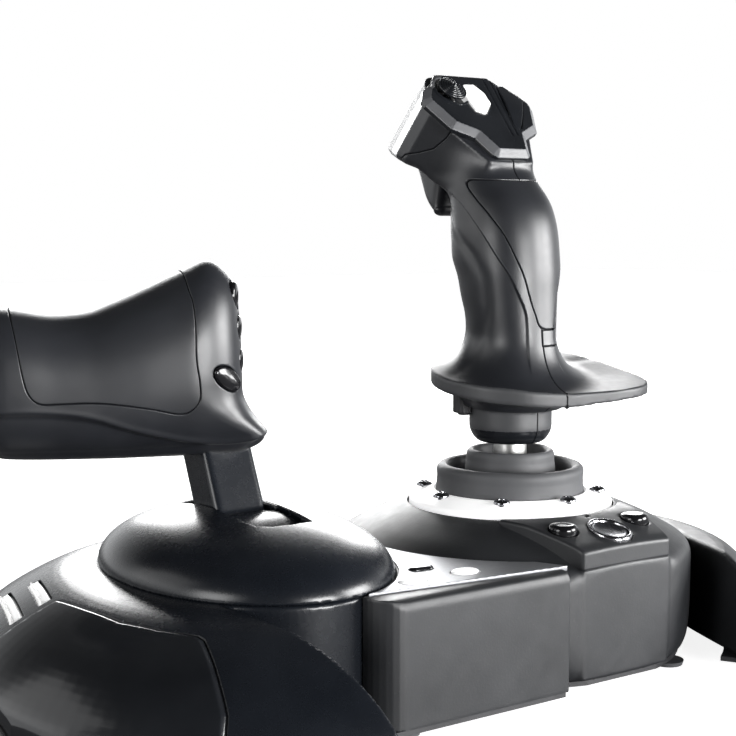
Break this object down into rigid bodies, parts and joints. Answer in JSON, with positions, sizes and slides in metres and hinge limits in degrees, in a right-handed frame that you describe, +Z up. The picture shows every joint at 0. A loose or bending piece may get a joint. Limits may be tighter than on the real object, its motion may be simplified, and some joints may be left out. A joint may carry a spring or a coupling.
{
  "type": "flight joystick",
  "caption": "Desk flight joystick: twist grip with trigger and hat on a booted gimbal base, joined to a base with a swinging hand throttle.",
  "frame": {"origin": "on the desk, under the axis of the stick at rest", "axes": "+Z up, +Y forward away from the pilot, +X to the pilot's right"},
  "size_m": [0.3695, 0.2834, 0.2587],
  "materials": {
    "body_plastic": "moulded charcoal plastic, satin",
    "soft_touch": "soft-touch panel, satin",
    "under_plastic": "dark engineering plastic, matt",
    "gloss_black": "polished black plastic",
    "ring_white": "white moulded plastic, semi-gloss",
    "boot_rubber": "matt dark rubber",
    "bright_screws": "polished",
    "plain_steel": "bright drawn",
    "ballast_iron": "cast",
    "silver_plastic": "silver paint, satin",
    "white_plastic": "white, semi-gloss",
    "board_green": "solder mask",
    "sensor_blue": "moulded housing",
    "bronze": "machined"
  },
  "bodies": {
    "base": {"base_shell": "body_plastic", "bottom_plates": "under_plastic", "nose_cover": "body_plastic", "boot_ring": "ring_white", "ring_screws": "bright_screws", "boot_outer": "boot_rubber", "ballast_plate": "ballast_iron", "rubber_feet": "boot_rubber", "bottom_screws": "plain_steel", "gimbal_frame": "under_plastic", "circuit_boards": "board_green", "status_lens": "white_plastic", "guide_ring": "bright_screws", "usb_cable": "body_plastic", "cable_grommet": "boot_rubber", "pedal_port": "under_plastic", "link_housing": "body_plastic", "link_panel": "silver_plastic", "throttle_base_shell": "body_plastic", "throttle_dome": "body_plastic", "front_plate": "gloss_black", "slot_inlays": "silver_plastic", "throttle_bracket": "under_plastic", "throttle_axle": "plain_steel", "position_sensors": "sensor_blue", "centring_spring": "plain_steel"},
    "gimbal": {"gimbal_ring": "under_plastic"},
    "shaft": {"stick_shaft": "plain_steel", "boot_inner": "boot_rubber"},
    "grip": {"grip_left": "body_plastic", "grip_right": "body_plastic", "palm_pad": "soft_touch", "head_shell": "body_plastic", "faceplate": "gloss_black", "twist_bush": "bronze", "grip_screws": "plain_steel", "trigger_pin": "plain_steel"},
    "throttle": {"throttle_arm": "body_plastic", "handle_front": "body_plastic", "handle_rear": "body_plastic", "handle_pad": "soft_touch"},
    "trigger": {"trigger": "under_plastic"},
    "hat_cross": {"hat_cross": "plain_steel"},
    "hat_cap": {"hat_cap": "gloss_black"},
    "hex_button": {"hex_button": "white_plastic"},
    "head_button_right": {"head_button_right": "gloss_black"},
    "twist_lock": {"twist_lock": "under_plastic"},
    "menu_button": {"menu_button": "gloss_black"},
    "view_button": {"view_button": "gloss_black"},
    "guide_button": {"guide_button": "silver_plastic"},
    "mode_button": {"mode_button": "gloss_black"},
    "oval_button_left": {"oval_button_left": "white_plastic"},
    "oval_button_right": {"oval_button_right": "white_plastic"},
    "tension_dial": {"tension_dial": "under_plastic"},
    "thumb_button_upper": {"thumb_button_upper": "gloss_black"},
    "thumb_button_middle": {"thumb_button_middle": "gloss_black"},
    "thumb_button_lower": {"thumb_button_lower": "gloss_black"},
    "handle_side_button": {"handle_side_button": "gloss_black"},
    "rocker_paddle": {"rocker_paddle": "under_plastic"}
  },
  "joints": [
    {"name": "pitch", "type": "hinge", "parent": "base", "child": "gimbal", "pos_m": [0, 0, 0.064], "axis": [1, 0, 0], "range_deg": [-14, 14], "stiffness_Nm_per_rad": 4},
    {"name": "roll", "type": "hinge", "parent": "gimbal", "child": "shaft", "pos_m": [0, 0, 0.064], "axis": [0, 1, 0], "range_deg": [-14, 14], "stiffness_Nm_per_rad": 4},
    {"name": "twist", "type": "hinge", "parent": "shaft", "child": "grip", "pos_m": [0, 0, 0.1], "axis": [0, 0, 1], "range_deg": [-18, 18], "stiffness_Nm_per_rad": 1},
    {"name": "trigger_pull", "type": "hinge", "parent": "grip", "child": "trigger", "pos_m": [0, 0.05, 0.219], "axis": [-1, 0, 0], "range_deg": [0, 7], "stiffness_Nm_per_rad": 0.5},
    {"name": "hat_tilt_up_down", "type": "hinge", "parent": "grip", "child": "hat_cross", "pos_m": [-0.014, 0.02849, 0.24686], "axis": [1, 0, 0], "range_deg": [-6, 6], "stiffness_Nm_per_rad": 0.2},
    {"name": "hat_tilt_left_right", "type": "hinge", "parent": "hat_cross", "child": "hat_cap", "pos_m": [-0.014, 0.02849, 0.24686], "axis": [0, 0.7161, 0.698], "range_deg": [-6, 6], "stiffness_Nm_per_rad": 0.2},
    {"name": "hex_press", "type": "slide", "parent": "grip", "child": "hex_button", "axis": [0, 0.698, -0.7161], "range_m": [0, 0.001], "stiffness_N_per_m": 400},
    {"name": "head_right_press", "type": "slide", "parent": "grip", "child": "head_button_right", "axis": [0, 0.698, -0.7161], "range_m": [0, 0.001], "stiffness_N_per_m": 400},
    {"name": "twist_lock_turn", "type": "hinge", "parent": "grip", "child": "twist_lock", "pos_m": [-0.01836, 0.0106, 0.108], "axis": [0, 0, 1], "range_deg": [0, 90]},
    {"name": "menu_press", "type": "slide", "parent": "base", "child": "menu_button", "axis": [0, 0, -1], "range_m": [0, 0.0015], "stiffness_N_per_m": 400},
    {"name": "view_press", "type": "slide", "parent": "base", "child": "view_button", "axis": [0, 0, -1], "range_m": [0, 0.0015], "stiffness_N_per_m": 400},
    {"name": "guide_press", "type": "slide", "parent": "base", "child": "guide_button", "axis": [0, 0, -1], "range_m": [0, 0.0012], "stiffness_N_per_m": 400},
    {"name": "mode_press", "type": "slide", "parent": "base", "child": "mode_button", "axis": [0, 0, -1], "range_m": [0, 0.001], "stiffness_N_per_m": 400},
    {"name": "oval_left_press", "type": "slide", "parent": "base", "child": "oval_button_left", "axis": [0, 0, -1], "range_m": [0, 0.001], "stiffness_N_per_m": 400},
    {"name": "oval_right_press", "type": "slide", "parent": "base", "child": "oval_button_right", "axis": [0, 0, -1], "range_m": [0, 0.001], "stiffness_N_per_m": 400},
    {"name": "tension_turn", "type": "hinge", "parent": "base", "child": "tension_dial", "pos_m": [0, 0.038, 0.004], "axis": [0, 0, 1], "range_deg": [0, 300]},
    {"name": "throttle_swing", "type": "hinge", "parent": "base", "child": "throttle", "pos_m": [-0.135, -0.004, 0.03], "axis": [1, 0, 0], "range_deg": [-3, 38]},
    {"name": "thumb_upper_press", "type": "slide", "parent": "throttle", "child": "thumb_button_upper", "axis": [-0.7431, 0.6691, 0], "range_m": [0, 0.001], "stiffness_N_per_m": 400},
    {"name": "thumb_middle_press", "type": "slide", "parent": "throttle", "child": "thumb_button_middle", "axis": [-0.7431, 0.6691, 0], "range_m": [0, 0.001], "stiffness_N_per_m": 400},
    {"name": "thumb_lower_press", "type": "slide", "parent": "throttle", "child": "thumb_button_lower", "axis": [-0.7431, 0.6691, 0], "range_m": [0, 0.001], "stiffness_N_per_m": 400},
    {"name": "side_button_press", "type": "slide", "parent": "throttle", "child": "handle_side_button", "axis": [-0.2588, 0.9659, 0], "range_m": [0, 0.001], "stiffness_N_per_m": 400},
    {"name": "rocker_tilt", "type": "hinge", "parent": "throttle", "child": "rocker_paddle", "pos_m": [-0.16991, 0.06241, 0.131], "axis": [0, 0, 1], "range_deg": [-4, 4], "stiffness_Nm_per_rad": 0.3}
  ]
}
